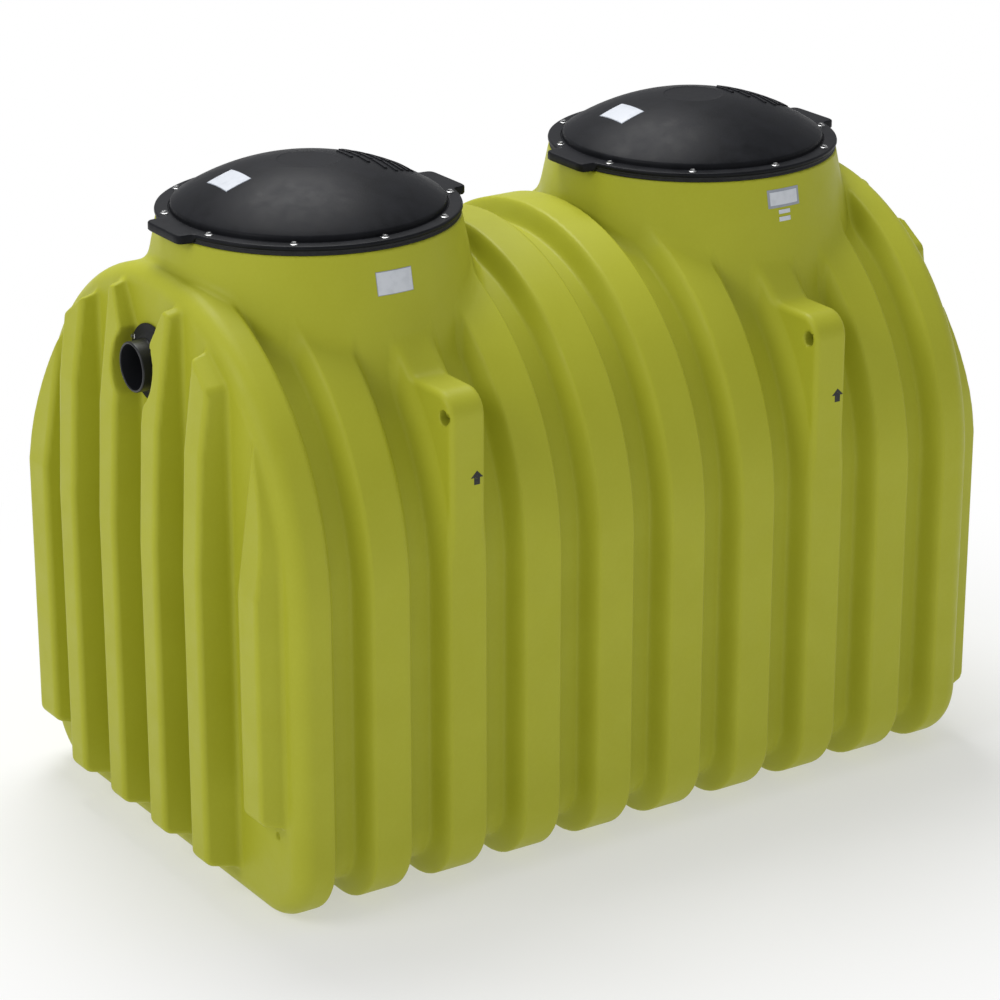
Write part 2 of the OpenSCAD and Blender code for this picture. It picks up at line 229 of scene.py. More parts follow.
def make_polyethylene(tints):
    # Rotationally moulded polyethylene: a waxy satin with soft wide highlights, slow clouds of
    # pigment 150 mm across with 7 mm specks in them, gloss that wanders where the body has been
    # handled, and a faint 5 mm orange peel over 90 mm waves from the mould's blasted face.
    made, tree, shader, where = finish_of(
        "rotomoulded_polyethylene", tints.body, Roughness=0.5, IOR=1.51, Specular_IOR_Level=0.22)
    clouds = add_node(tree, "TexNoise", {"Vector": where, "Scale": per_metre(150), "Detail": 3.0})
    specks = add_node(tree, "TexNoise", {"Vector": where, "Scale": per_metre(7), "Detail": 2.0})
    cloudy = add_node(tree, "MapRange", {
        "Value": clouds, "From Min": 0.35, "From Max": 0.7, "To Max": 0.5})
    speckled = add_node(tree, "MapRange", {
        "Value": specks, "From Min": 0.4, "From Max": 0.75, "To Max": 0.25})
    share = add_node(tree, "Math", {0: cloudy, 1: speckled}, operation="ADD")
    dress(tree, shader, share, opaque(tints.body), opaque(tints.body_pale))
    handled = add_node(tree, "TexNoise", {"Vector": where, "Scale": per_metre(60), "Detail": 4.0})
    add_node(tree, "MapRange", {
        "Value": handled, "From Min": 0.3, "From Max": 0.7, "To Min": 0.43, "To Max": 0.57},
             into=shader["Roughness"])
    waves = add_node(tree, "TexNoise", {"Vector": where, "Scale": per_metre(90), "Detail": 1.0})
    peel = add_node(tree, "TexNoise", {"Vector": where, "Scale": per_metre(5), "Detail": 1.5})
    slow = add_node(tree, "Bump", {"Height": waves, "Distance": 0.004, "Strength": 0.10})
    add_node(tree, "Bump", {"Height": peel, "Distance": 0.0006, "Strength": 0.16, "Normal": slow},
             into=shader["Normal"])
    return made


def make_polypropylene(tints):
    # Structural foam polypropylene: near black, satin, with the swirl that the foam leaves, drawn
    # 40 mm wide, and a fine leather grain, drawn at 2.5 mm so that it shows.
    made, tree, shader, where = finish_of(
        "foam_polypropylene", tints.lid, Roughness=0.42, IOR=1.49, Specular_IOR_Level=0.10)
    foam = add_node(tree, "TexNoise", {
        "Vector": where, "Scale": per_metre(40), "Detail": 4.0, "Roughness": 0.6})
    swirl = add_node(tree, "MapRange", {"Value": foam, "From Min": 0.3, "From Max": 0.7})
    leather = add_node(tree, "TexVoronoi", {"Vector": where, "Scale": per_metre(2.5)})
    dress(tree, shader, swirl, opaque(tints.lid), opaque(tints.lid_pale), (0.38, 0.5),
          leather, 0.0003, 0.12)
    return made


def make_pipe_plastic(tints):
    # Extruded black ABS: smoother than the lids, with draw lines 1.5 mm apart along the pipe.
    made, tree, shader, where = finish_of(
        "extruded_abs", tints.pipe, Roughness=0.36, IOR=1.54, Specular_IOR_Level=0.35)
    along = add_node(tree, "Mapping", {"Vector": where, "Scale": (0.02, 1.0, 1.0)})
    lines = add_node(tree, "TexNoise", {"Vector": along, "Scale": per_metre(1.5), "Detail": 2.0})
    dress(tree, shader, lines, opaque(tints.pipe), opaque(tints.lid_pale), (0.30, 0.44),
          lines, 0.0003, 0.2)
    return made


def make_rubber(tints):
    # Moulded EPDM rubber: dull black with a dusty bloom in 12 mm patches and a fine matt grain.
    made, tree, shader, where = finish_of(
        "moulded_epdm", tints.rubber, Roughness=0.72, IOR=1.5, Specular_IOR_Level=0.35)
    dust = add_node(tree, "TexNoise", {
        "Vector": where, "Scale": per_metre(12), "Detail": 4.0, "Roughness": 0.6})
    bloom = add_node(tree, "MapRange", {
        "Value": dust, "From Min": 0.45, "From Max": 0.8, "To Max": 0.5})
    add_node(tree, "MapRange", {"Value": bloom, "From Max": 0.5, "To Min": 0.66, "To Max": 0.84},
             into=shader["Roughness"])
    matt = add_node(tree, "TexNoise", {"Vector": where, "Scale": per_metre(1.5), "Detail": 2.0})
    dress(tree, shader, bloom, opaque(tints.rubber), linear("#3A3B3D"), None, matt, 0.0003, 0.25)
    return made


def make_steel(tints):
    # Zinc-plated steel: bright, slightly brushed, with a bloom of dull plating 3 mm across.
    made, tree, shader, where = finish_of(
        "zinc_plated_steel", tints.steel, Metallic=1.0, Roughness=0.26)
    dull = add_node(tree, "TexNoise", {"Vector": where, "Scale": per_metre(3), "Detail": 3.0})
    dress(tree, shader, dull, opaque(tints.steel), linear("#9A9B9C"), (0.12, 0.44),
          dull, 0.0001, 0.2)
    return made


def make_vinyl(tints):
    # Blank vinyl film: smooth and slightly glossy, with faint grey weathering in 20 mm clouds.
    made, tree, shader, where = finish_of("blank_vinyl", tints.plate, Roughness=0.34, IOR=1.5)
    clouds = add_node(tree, "TexNoise", {"Vector": where, "Scale": per_metre(20), "Detail": 4.0})
    wear = add_node(tree, "MapRange", {
        "Value": clouds, "From Min": 0.45, "From Max": 0.8, "To Max": 0.4})
    dress(tree, shader, wear, opaque(tints.plate), linear("#A9B0B8"), None, clouds, 0.0004, 0.15)
    return made


def make_grey_film(tints):
    # The same film printed plain grey, worn paler in 10 mm patches, for the borders of the plates.
    made, tree, shader, where = finish_of("grey_vinyl", tints.border, Roughness=0.38, IOR=1.5)
    wear = add_node(tree, "TexNoise", {"Vector": where, "Scale": per_metre(10), "Detail": 3.0})
    dress(tree, shader, wear, opaque(tints.border), linear("#A4A9B2"))
    return made


def make_ink(tints):
    # Screen ink: matt black, thinning in 3 mm flecks where the body shows through.
    made, tree, shader, where = finish_of("screen_ink", tints.ink, Roughness=0.55, IOR=1.5)
    flecks = add_node(tree, "TexNoise", {"Vector": where, "Scale": per_metre(3), "Detail": 3.0})
    thin = add_node(tree, "MapRange", {
        "Value": flecks, "From Min": 0.62, "From Max": 0.75, "To Max": 0.35})
    dress(tree, shader, thin, opaque(tints.ink), opaque(tints.body))
    return made


MAKERS = {
    "polyethylene": make_polyethylene, "polypropylene": make_polypropylene,
    "abs": make_pipe_plastic, "rubber": make_rubber, "steel": make_steel,
    "vinyl": make_vinyl, "grey_vinyl": make_grey_film, "ink": make_ink,
}
_made = {}


def material(kind):
    """The material of that kind, made once."""
    if kind not in _made:
        _made[kind] = MAKERS[kind](bpy.context.scene.tank_colours)
    return _made[kind]


# ---- mesh helpers --------------------------------------------------------


def new_piece(name, points, faces, kind, slot=None, nodes=(), normals=None, crease=None):
    """A mesh object on the tank's body, with its material and the solids it stands for.

    It has the given normals, or edges marked as sharp where they turn by crease degrees or more.
    Its slot argument is not used."""
    mesh = bpy.data.meshes.new(name)
    mesh.from_pydata([tuple(map(float, p)) for p in points], [],
                     [tuple(map(int, f)) for f in faces])
    mesh.validate()
    mesh.materials.append(material(kind))
    mesh.polygons.foreach_set("use_smooth", [True] * len(mesh.polygons))
    if normals is not None:
        mesh.normals_split_custom_set_from_vertices([tuple(map(float, n)) for n in normals])
    made = bpy.data.objects.new(name, mesh)
    bpy.context.scene.collection.objects.link(made)
    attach(made, BODY)
    if nodes:
        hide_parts(*nodes)
    if crease:
        sharpen(mesh, crease)


def sharpen(mesh, degrees):
    """Marks edges steeper than this as sharp, so that flat faces shade flat."""
    bm = bmesh.new()
    bm.from_mesh(mesh)
    bmesh.ops.remove_doubles(bm, verts=bm.verts, dist=1e-6)
    bmesh.ops.recalc_face_normals(bm, faces=bm.faces)
    for edge in bm.edges:
        edge.smooth = not (edge.is_manifold and edge.calc_face_angle(0) > math.radians(degrees))
    bm.to_mesh(mesh)
    bm.free()
    mesh.update()


def lathe(profile, turns, place=None):
    """Points and faces of [radius, height] rings turned round Z.

    A radius or height may be a list with one value per turn; a radius of 0 closes the middle."""
    angles = np.asarray(turns, float)
    points, faces, rings = [], [], []
    for radius, height in profile:
        if np.isscalar(radius) and radius < 1e-9:
            rings.append([len(points)])
            points.append((0.0, 0.0, float(np.mean(height))))
            continue
        r = np.broadcast_to(radius, angles.shape)
        z = np.broadcast_to(height, angles.shape)
        rings.append(list(range(len(points), len(points) + len(angles))))
        points += list(zip(r * np.cos(angles), r * np.sin(angles), z))
    n = len(angles)
    for a, b in zip(rings, rings[1:]):
        for i in range(n):
            j = (i + 1) % n
            if len(a) == 1:
                faces.append((a[0], b[i], b[j]))
            elif len(b) == 1:
                faces.append((a[i], b[0], a[j]))
            else:
                faces.append((a[i], b[i], b[j], a[j]))
    points = np.array(points)
    if place is not None:
        points = points @ np.array(place.to_3x3()).T + np.array(place.translation)
    return points, faces


def evenly(count):
    """Equal turns round a full circle."""
    return np.linspace(0, 2 * math.pi, count, endpoint=False)


def joined(parts):
    """Points and faces of several [points, faces] pairs as one."""
    points, faces = [], []
    for more, made in parts:
        faces += [tuple(i + len(points) for i in face) for face in made]
        points += list(more)
    return points, faces


def rounded(points, radius, steps=5):
    """A [radius, height] line with each inner corner rounded, as far as its neighbours allow."""
    line = [points[0]]
    for a, b, c in zip(points, points[1:], points[2:]):
        a, b, c = (Vector((p[0], p[1])) for p in (a, b, c))
        u, v = (a - b), (c - b)
        r = min(radius, u.length * 0.45, v.length * 0.45)
        u.normalize()
        v.normalize()
        p, q = b + u * r, b + v * r
        for k in range(steps + 1):
            t = k / steps
            m = p.lerp(b, t).lerp(b.lerp(q, t), t)
            line.append((m.x, m.y))
    return line + [points[-1]]


# ---- form of the moulded body --------------------------------------------


def round_and(a, b, r):
    """Where both a and b are inside, with the edge between them rounded."""
    return np.minimum(np.maximum(a, b), -r) + np.hypot(np.maximum(a + r, 0), np.maximum(b + r, 0))


def blend_or(a, b, reach):
    """Where a or b is inside, with a smooth fillet between them."""
    share = np.maximum(reach - np.abs(a - b), 0) / reach
    return np.minimum(a, b) - share * share * reach / 4


class TankForm:
    """Distance outside the moulded body's skin, in metres, at points or on a grid.

    It is even in x and y but for the ports, the feet of the outer ribs and the dimple."""

    # Collar: rounding of its mouth, how deep under the ribs' crest line its cone goes, its lowest
    # height, and the length over which its fillet fades out towards the end and the foot.
    mouth_round, collar_sunk, collar_low, fillet_fade = 0.003, 0.085, 1.02, 0.06
    # Lug: draft of each side, slope of the foot, fillet to the body, lowest height, hole's edge.
    lug_draft, lug_slope, lug_fillet, lug_low, hole_edge = 0.004, 0.25, 0.012, 0.55, 0.003
    # Rake behind a lug's top, at 45 degrees: distance from the tank's middle at which it meets the
    # height of the flat top, height at which it ends, outermost reach, edge and fillet to the lug.
    rake_y, rake_top, rake_out, rake_edge, rake_fillet = 0.440, 1.262, 0.50, 0.014, 0.018
    # End ribs: distance kept from the crest line, edge of the tip, edge of the foot, depth of the
    # root in the wall and cosine of the draft.
    rib_gap, tip_edge, foot_edge, root_depth, draft_cos = 0.034, 0.006, 0.020, 0.012, 0.96
    # Outer end ribs: extra half width, height of the crease above which they lean, that slope, and
    # the height of their feet, except the near one of the outlet end.
    outer_extra, outer_crease, outer_lean, outer_foot = 0.007, 0.786, 0.154, 0.124
    # The other end ribs lean in two steps: slope and the height above which it adds.
    leans = ((0.05, 0.78), (0.09, 1.05))
    # Flat tip of the inner and the middle end rib: slopes outwards, along Y and up, the length of
    # those slopes, and the y and z of a point of the tip at the wall.
    tips = ((0.42, 0.30, 1.0, 1.13, 0.140, 1.322), (0.167, 0.580, 0.798, 1.0, 0.2475, 1.266))
    # Facet on the inner rib's front beside the port, given in the same way, without the first.
    facet = (-0.106, 0.055, 0.1194, 0.060, 1.214)
    # Seal to scoop clearance of the inner ribs; place and edge of the dimple.
    scoop_gap, dimple_y, dimple_z, dimple_edge = 0.004, 0.506, 0.217, 0.002

    def __init__(self, sizes):
        self.s = sizes
        self.half = high("side_wall_far").y
        self.spring = high("side_wall_near").z + sizes.spring_up
        self.corner = low("side_wall_near").z
        self.top = high("crown_middle_near").z + sizes.vault_up
        self.end = high("inlet_end_wall").x
        self.last = self.end - sizes.end_round
        self.collar_x = middle("inlet_lid").x
        self.collar_z = high("collar_inlet").z
        self.lug_x = middle("lug_near_inlet").x
        self.haunch_r = self.top - self.spring + sizes.haunch_extra
        self.haunch_y = self.haunch_r - self.half
        rise = self.top - self.spring
        self.crown_r = ((self.haunch_r ** 2 - self.haunch_y ** 2 - rise ** 2)
                        / (2 * sizes.haunch_extra))
        self.crown_z = self.top - self.crown_r
        self.turn = math.atan2(self.crown_z - self.spring, self.haunch_y)
        self.ports = {s: middle(f"{n}_pipe").z for n, s in ENDS.items()}
        self.scoop = high("outlet_seal").y + self.scoop_gap
        self.ribs = []
        for number in (3, 2, 1):
            lo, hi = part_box(f"inlet_end_rib_{number}")
            self.ribs.append({"y": abs(lo.y + hi.y) / 2, "deep": hi.x - self.end, "foot": lo.z})

    def section(self, y, z):
        """Distance outside the crest line of the ribs, across the tank."""
        out, down = y - self.half + self.corner, self.corner - z
        low_part = (np.hypot(np.maximum(out, 0), np.maximum(down, 0))
                    + np.minimum(np.maximum(out, down), 0) - self.corner)
        haunch = np.hypot(y + self.haunch_y, z - self.spring) - self.haunch_r
        crown = np.hypot(y, z - self.crown_z) - self.crown_r
        over = (z - self.crown_z) * math.cos(self.turn) > y * math.sin(self.turn)
        return np.where(z > self.spring, np.where(over, crown, haunch), low_part)

    def groove(self, x):
        """Depth below the crest and its slope, at x from the middle."""
        s = self.s
        off = np.abs(x - (np.floor(x / s.rib_pitch) + 0.5) * s.rib_pitch)
        t = np.clip((off - s.rib_crest / 2) / s.rib_flank, 0, 1) * (x < self.last)
        slope = s.groove_depth * math.pi / 2 * np.sin(math.pi * t) / s.rib_flank
        return s.groove_depth * (1 - np.cos(math.pi * t)) / 2, slope

    def hull(self, x, crest):
        """Distance outside the ribbed shell, which turns into the end wall with a rounding."""
        depth, slope = self.groove(x)
        side = (crest + depth) / np.sqrt(1 + slope ** 2)
        r = self.s.end_round
        beyond = np.maximum(x - self.last, 0)
        end = (np.hypot(np.maximum(crest + r, 0), beyond)
               + np.minimum(crest + r, 0) * (x <= self.last) - r)
        return np.where(x > self.last, end, side)

    def collar(self, x, y, z, crest):
        """Distance outside a manhole collar, a cone with a rounded mouth."""
        s = self.s
        rho = np.hypot(x - self.collar_x, y)
        slope = math.tan(s.collar_slope)
        cone = (rho - s.collar_r - (self.collar_z - z) * slope) * math.cos(s.collar_slope)
        cone = round_and(cone, z - self.collar_z, self.mouth_round)
        return np.maximum(np.maximum(cone, -(crest + self.collar_sunk)), self.collar_low - z)

    def lug(self, x, y, z):
        """Distance outside a lifting lug: a block with a rake behind its top and a fading foot."""
        s = self.s
        wide = (np.abs(x - self.lug_x) - s.lug_w / 2
                - self.lug_draft * (self.half - y) / self.half)
        fade = np.maximum(s.lug_foot - z, 0) * self.lug_slope
        block = round_and(y - self.half + fade, z - s.lug_top, s.lug_corner)
        rake = round_and((z - s.lug_top + y - self.rake_y) / math.sqrt(2), z - self.rake_top,
                         self.rake_edge)
        profile = blend_or(block, np.maximum(rake, y - self.rake_out), self.rake_fillet)
        return np.maximum(round_and(wide, profile, s.lug_round), self.lug_low - z)

    def end_rib(self, out, y, z, crest, n, foot):
        """Distance outside end rib n, counted from the middle, whose foot is at that height."""
        s, rib = self.s, self.ribs[n]
        deep, half = rib["deep"], s.rib_front / 2
        outer = n == 2
        if outer:
            lean = self.outer_lean * np.maximum(z - self.outer_crease, 0)
            roof = (crest + self.rib_gap + 0.35 * out) / 1.06
        else:
            lean = sum(slope * np.maximum(z - start, 0) for slope, start in self.leans)
            a, b, c, size, y0, z0 = self.tips[n]
            roof = (a * out + b * (y - y0) + c * (z - z0)) / size
        front = out - deep + lean
        if n == 0:
            b, c, size, y0, z0 = self.facet
            front = round_and(front, (b * (y - y0) + c * (z - z0)) / size, self.tip_edge)
        near_crest = (crest + self.rib_gap + 0.2 * out) / 1.02
        shape = round_and(round_and(front, roof, self.tip_edge), near_crest, self.tip_edge)
        shape = round_and(shape, (foot + 0.25 * out - z) / 1.03, self.foot_edge)
        extra = self.outer_extra if outer else 0
        draft = s.rib_draft * (1 - out / deep)
        sides = (np.abs(y - rib["y"] - extra) - half - extra - draft) * self.draft_cos
        return np.maximum(round_and(shape, sides, s.rib_round), -self.root_depth - out)

    def __call__(self, x, y, z):
        s = self.s
        outlet, far = x < 0, y > 0
        x, y = np.abs(x), np.abs(y)
        crest = self.section(y, z)
        body = self.hull(x, crest)
        fade = np.clip(np.minimum(self.end - x, z - self.collar_low) / self.fillet_fade, 0.02, 1)
        reach = s.collar_fillet * fade * fade * (3 - 2 * fade)
        body = blend_or(body, self.collar(x, y, z, crest), reach)
        body = blend_or(body, self.lug(x, y, z), self.lug_fillet)
        hole = s.hole_r - np.hypot(y - self.half + s.hole_in, z - s.hole_z)
        drilled = round_and(body, hole, self.hole_edge)
        body = np.where(np.abs(x - self.lug_x) < s.lug_w, drilled, body)
        out = x - self.end
        bore = np.hypot(y, z - np.where(outlet, self.ports[-1], self.ports[1]))
        for n, rib in enumerate(self.ribs):
            foot = rib["foot"]
            if n == 2:
                foot = np.where(outlet & ~far, foot, self.outer_foot)
            shape = self.end_rib(out, y, z, crest, n, foot)
            if n == 0:
                shape = round_and(shape, self.scoop - bore, self.tip_edge)
            body = blend_or(body, shape, s.rib_root)
        dimple = np.sqrt((x - self.end) ** 2 + (y - self.dimple_y) ** 2
                         + (z - self.dimple_z) ** 2) - s.dimple_r
        body = np.where(outlet & ~far, round_and(body, -dimple, self.dimple_edge), body)
        return np.maximum(body, y - self.half)


SLAB = 24           # planes of the grid worked out at a time, which keeps the memory small
SLOPE_GAP = 0.0008  # half distance over which a slope is measured when points move onto the skin
LIGHT_GAP = 0.0016  # the same for the normals, which soften over a little more


def surface_net(form, lo, hi, step):
    """Points and four-sided faces of the skin where form is zero, with its normals."""
    counts = [int(math.ceil((b - a) / step)) + 1 for a, b in zip(lo, hi)]
    xs, ys, zs = (a + step * np.arange(n) for a, n in zip(lo, counts))
    values = np.empty((len(xs), len(ys), len(zs)), np.float32)
    for start in range(0, len(xs), SLAB):
        part = slice(start, start + SLAB)
        values[part] = form(xs[part, None, None], ys[None, :, None], zs[None, None, :])
    origin = np.array([xs[0], ys[0], zs[0]])
    inside = values < 0
    corners = list(itertools.product((0, 1), repeat=3))
    size = [n - 1 for n in values.shape]

    def shifted(grid, c):
        return grid[tuple(slice(o, o + n) for o, n in zip(c, size))]

    count = np.zeros(size, np.int8)
    for c in corners:
        count += shifted(inside, c)
    cells = np.argwhere((count > 0) & (count < 8))
    index = np.full(size, -1, np.int64)
    index[tuple(cells.T)] = np.arange(len(cells))
    total, weight = np.zeros((len(cells), 3)), np.zeros(len(cells))
    for a in corners:
        for axis in range(3):
            if a[axis]:
                continue
            b = tuple(v + (i == axis) for i, v in enumerate(a))
            va = values[tuple((cells + a).T)].astype(float)
            vb = values[tuple((cells + b).T)].astype(float)
            cross = (va < 0) != (vb < 0)
            t = va[cross] / (va[cross] - vb[cross])
            total[cross] += np.array(a) + t[:, None] * (np.array(b) - a)
            weight[cross] += 1
    points = origin + step * (cells + total / weight[:, None])
    quads = []
    for axis in range(3):
        u, v = (axis + 1) % 3, (axis + 2) % 3
        first, second = [slice(1, -1)] * 3, [slice(1, -1)] * 3
        first[axis], second[axis] = slice(0, -1), slice(1, None)
        a, b = inside[tuple(first)], inside[tuple(second)]
        edges = np.argwhere(a != b)
        turned = ~a[tuple(edges.T)]
        ring = []
        for du, dv in ((0, 0), (1, 0), (1, 1), (0, 1)):
            cell = edges.copy()
            cell[:, u] += du
            cell[:, v] += dv
            ring.append(index[tuple(cell.T)])
        ring = np.stack(ring, 1)
        ring[turned] = ring[turned][:, ::-1]
        quads.append(ring)
    quads = np.concatenate(quads)
    for _ in range(3):
        value, slope = form_and_slope(form, points, SLOPE_GAP)
        move = slope * (value / np.maximum((slope ** 2).sum(1), 0.05))[:, None]
        far = np.linalg.norm(move, axis=1)
        points -= move * np.minimum(1, 0.5 * step / np.maximum(far, 1e-9))[:, None]
    slope = form_and_slope(form, points, LIGHT_GAP)[1]
    return points, quads, slope / np.linalg.norm(slope, axis=1)[:, None]


def form_and_slope(form, points, gap):
    """Value and gradient of the form at points."""
    slope = np.empty_like(points)
    for axis in range(3):
        step = np.zeros(3)
        step[axis] = gap
        slope[:, axis] = (form(*(points + step).T) - form(*(points - step).T)) / (2 * gap)
    return form(*points.T), slope


# ---- operators -----------------------------------------------------------


class TankOperator:
    """What the operators share."""
    bl_options = {"REGISTER", "UNDO"}

    @classmethod
    def poll(cls, context):
        return context.scene is not None


# The solids that each half of the walls and of the vault stands for.
WALLS = {"outlet": ["floor_pan", "corner_near", "side_wall_near"],
         "inlet": ["corner_far", "side_wall_far"]}
VAULT = {"outlet": ["crown_outlet", "haunch_near"],
         "inlet": ["crown_inlet", "crown_middle_near", "crown_middle_far", "haunch_far"]}


class TANK_OT_body(TankOperator, bpy.types.Operator):
    """Moulds the ribbed body with its collars, lugs and end ribs in six stretches"""
    bl_idname = "tank.body"
    bl_label = "Moulded body"

    def execute(self, context):
        sizes = context.scene.tank_shell
        form = TankForm(sizes)
        step = sizes.mesh_step
        reach, margin = CAD_BOX[1].x, 1.7 * step
        points, quads, normals = surface_net(
            form, (-reach - margin, -form.half - margin, -margin),
            (reach + margin, form.half + margin, form.collar_z + margin), step)
        x, y, z = points[quads].mean(1).T
        # The skin is left open under the lids and behind the pipes, inside these radii.
        mouth_r, port_r = 0.300, 0.060
        mouth = (np.hypot(np.abs(x) - form.collar_x, y) < mouth_r) & (z > form.collar_z - 0.004)
        port_z = np.where(x < 0, form.ports[-1], form.ports[1])
        port = (np.hypot(y, z - port_z) < port_r) & (np.abs(x) > form.end - 0.02)
        keep = ~(mouth | port)
        ends = np.abs(x) > form.last
        upper = z > form.spring
        for name, side in ENDS.items():
            mine = (x < 0) if side < 0 else (x >= 0)
            ribs = [f"{name}_end_rib_{i}" for i in range(1, 7)]
            stretches = {
                f"{name}_end": (keep & mine & ends, [
                    f"{name}_end_wall", f"{name}_port_ring"] + ribs),
                f"{name}_walls": (keep & mine & ~ends & ~upper, WALLS[name]),
                f"{name}_vault": (keep & mine & ~ends & upper, VAULT[name] + [
                    f"collar_{name}", f"lug_near_{name}", f"lug_far_{name}"]),
            }
            for piece, (chosen, nodes) in stretches.items():
                faces = quads[chosen]
                used, flat = np.unique(faces, return_inverse=True)
                new_piece(piece, points[used], flat.reshape(faces.shape), "polyethylene",
                          "tank_plastic", nodes, normals[used])
        return {"FINISHED"}


def dome_height(s, flange, top):
    """A function that gives the height of a dome, part of a ball, at a radius from its middle."""
    rise = top - (flange + s.dome_wall)
    ball = (s.dome_r ** 2 + rise ** 2) / (2 * rise)
    return lambda radius: top - ball + math.sqrt(ball ** 2 - radius ** 2)


class TANK_OT_lids(TankOperator, bpy.types.Operator):
    """Turns the two domed lids with their ears, grooves and top discs"""
    bl_idname = "tank.lids"
    bl_label = "Lids"

    def execute(self, context):
        s = context.scene.tank_lid
        for name in ENDS:
            node = f"{name}_lid"
            lo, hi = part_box(node)
            centre = middle(node)
            ear = (hi.x - lo.x) / 2
            # Close turns round the two ears, wider ones between them.
            turns = []
            for base in (0, math.pi):
                turns += list(base + np.radians(np.arange(-24, 24, 0.5)))
                turns += list(base + np.radians(np.arange(24, 156, 2)))
            turns = np.array(sorted(set(np.round(np.mod(turns, 2 * math.pi), 6))))
            rim = self.rim(turns, s, ear)
            on_ear = np.clip((rim - s.flange_r) / 0.004, 0, 1)
            on_ear = on_ear * on_ear * (3 - 2 * on_ear)
            bottom = lo.z - s.ear_drop * on_ear
            flange = lo.z + s.flange_t
            profile = [(0.302, lo.z), (0.335, lo.z), (rim - 0.006, bottom),
                       (rim - 0.002, bottom + 0.0006), (rim, bottom + 0.003),
                       (rim, flange - 0.0042), (rim - 0.0009, flange - 0.0015),
                       (rim - 0.003, flange - 0.0002), (rim - 0.005, flange)]
            profile += self.dome(s, flange, hi.z)
            points, faces = lathe(profile, turns, Matrix.Translation((centre.x, centre.y, 0)))
            new_piece(f"{name}_domed_lid", points, faces, "polypropylene", "lid_plastic", [node],
                      crease=50)
        return {"FINISHED"}

    @staticmethod
    def rim(turns, s, ear):
        """Outer radius of the flange at each turn, with its two ears."""
        c, d = np.abs(np.cos(turns)), np.abs(np.sin(turns))
        radii = np.linspace(s.flange_r, ear + 0.004, 300)
        x, y = radii[None] * c[:, None], radii[None] * d[:, None]
        r = 0.016  # corners of an ear
        qx, qy = x - (ear - r), y - (s.ear_w / 2 - r)
        block = (np.hypot(np.maximum(qx, 0), np.maximum(qy, 0))
                 + np.minimum(np.maximum(qx, qy), 0) - r)
        disc = radii[None] - s.flange_r
        inside = blend_or(block, disc, 0.012) <= 0
        return np.where(inside.any(1), np.where(inside, radii[None], 0).max(1), s.flange_r)

    @staticmethod
    def dome(s, flange, top):
        """The line from the flange over its groove and the dome to the middle."""
        height = dome_height(s, flange, top)
        groove = flange - 0.0022
        line = [(0.3170, flange), (0.3125, flange), (0.3112, groove), (0.3096, groove),
                (s.dome_r + 0.0006, flange), (s.dome_r, flange + s.dome_wall)]
        line = rounded(line + [(s.dome_r - 0.016, height(s.dome_r - 0.016))], 0.006, 4)
        line += [(r, height(r)) for r in np.linspace(s.dome_r - 0.024, s.disc_r + 0.002, 30)]
        edge = height(s.disc_r)
        disc = edge - 0.001
        return line + [(s.disc_r, edge), (s.disc_r - 0.0015, edge - 0.0009),
                       (s.disc_r - 0.004, disc), (s.disc_r * 0.5, disc), (0.0, disc)]


class TANK_OT_gaskets(TankOperator, bpy.types.Operator):
    """Turns the rubber gaskets between the collars and the lids"""
    bl_idname = "tank.gaskets"
    bl_label = "Gaskets"

    def execute(self, context):
        for name in ENDS:
            node = f"{name}_gasket"
            lo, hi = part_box(node)
            r, bore = (hi.x - lo.x) / 2, 0.2965
            tall = hi.z - lo.z
            line = [(bore, lo.z), (r - 0.001, lo.z), (r, lo.z + 0.25 * tall),
                    (r - 0.0022, lo.z + 0.5 * tall), (r, lo.z + 0.75 * tall), (r - 0.001, hi.z),
                    (bore, hi.z), (bore, lo.z)]
            centre = middle(node)
            points, faces = lathe(rounded(line, 0.0015, 3), evenly(180),
                                  Matrix.Translation((centre.x, centre.y, 0)))
            new_piece(f"{name}_ring_gasket", points, faces, "rubber", "seal_rubber", [node],
                      crease=50)
        return {"FINISHED"}


class TANK_OT_screws(TankOperator, bpy.types.Operator):
    """Sets the washer-head screws round each lid and one beside each seal"""
    bl_idname = "tank.screws"
    bl_label = "Screws"

    def execute(self, context):
        s = context.scene.tank_lid
        wall = high("inlet_end_wall").x
        for name, side in ENDS.items():
            flange = low(f"{name}_lid").z + s.flange_t
            centre = middle(f"{name}_lid")
            screws = []
            for k in range(s.screw_count):
                turn = math.radians(18 + 360 * k / s.screw_count)
                at = Matrix.Translation((centre.x + s.screw_circle * math.cos(turn),
                                         centre.y + s.screw_circle * math.sin(turn), flange))
                screws += self.screw(at @ Matrix.Rotation(turn * 3, 4, "Z"), s.screw_r)
            new_piece(f"{name}_lid_screws", *joined(screws), "steel", crease=25)
            port = middle(f"{name}_seal").z
            at = Matrix.Translation((side * (wall + 0.008), 0.071, port + 0.045))
            turn = Matrix.Rotation(side * math.pi / 2, 4, "Y")
            new_piece(f"{name}_seal_screw", *joined(self.screw(at @ turn, 0.0075)), "steel",
                      crease=25)
        return {"FINISHED"}

    @staticmethod
    def screw(place, r):
        """The washer face and the dished hexagon of one screw."""
        washer = [(0, 0), (r, 0), (r, 0.0012), (r * 0.72, 0.0022), (r * 0.6, 0.0024)]
        across = r * 0.62
        hexagon = [(across, 0.0015), (across, 0.0050), (across * 0.90, 0.0057),
                   (across * 0.62, 0.0057), (across * 0.5, 0.0050), (0, 0.0048)]
        return [lathe(rounded(washer, 0.0006, 2), evenly(30), place),
                lathe(hexagon, evenly(6), place)]


